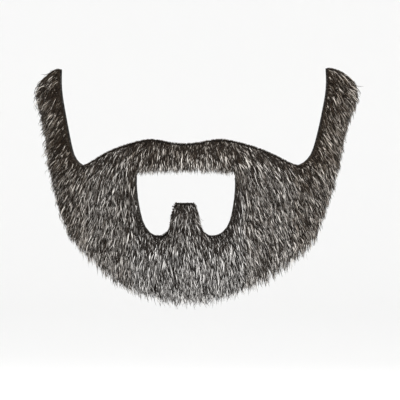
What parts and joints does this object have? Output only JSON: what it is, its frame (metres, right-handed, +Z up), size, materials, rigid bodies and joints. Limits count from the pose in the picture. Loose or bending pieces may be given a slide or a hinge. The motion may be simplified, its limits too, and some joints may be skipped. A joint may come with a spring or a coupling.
{
  "type": "fake beard with moustache and sideburns",
  "caption": "Full short stick-on beard cut in one piece from pile fabric: joined moustache, mouth opening with soul patch, cheeks, chin and sideburns.",
  "frame": {"origin": "on the back of the cloth at the front of the chin, on the centre line, just below the mouth opening, where the beard seats on a chin", "axes": "+X to the wearer's left, +Y back into the face, +Z up; the beard looks along -Y as the head that wears it does"},
  "size_m": [0.1593, 0.0821, 0.1182],
  "materials": {
    "knit_backing": "matt black knit backing of a pile fabric",
    "salt_and_pepper_fur": "short straight acrylic pile, near-black at the roots with grey and white tips, softly glossy"
  },
  "bodies": {
    "root": {"backing_cloth": "knit_backing", "fur_pile": "salt_and_pepper_fur"}
  },
  "joints": []
}
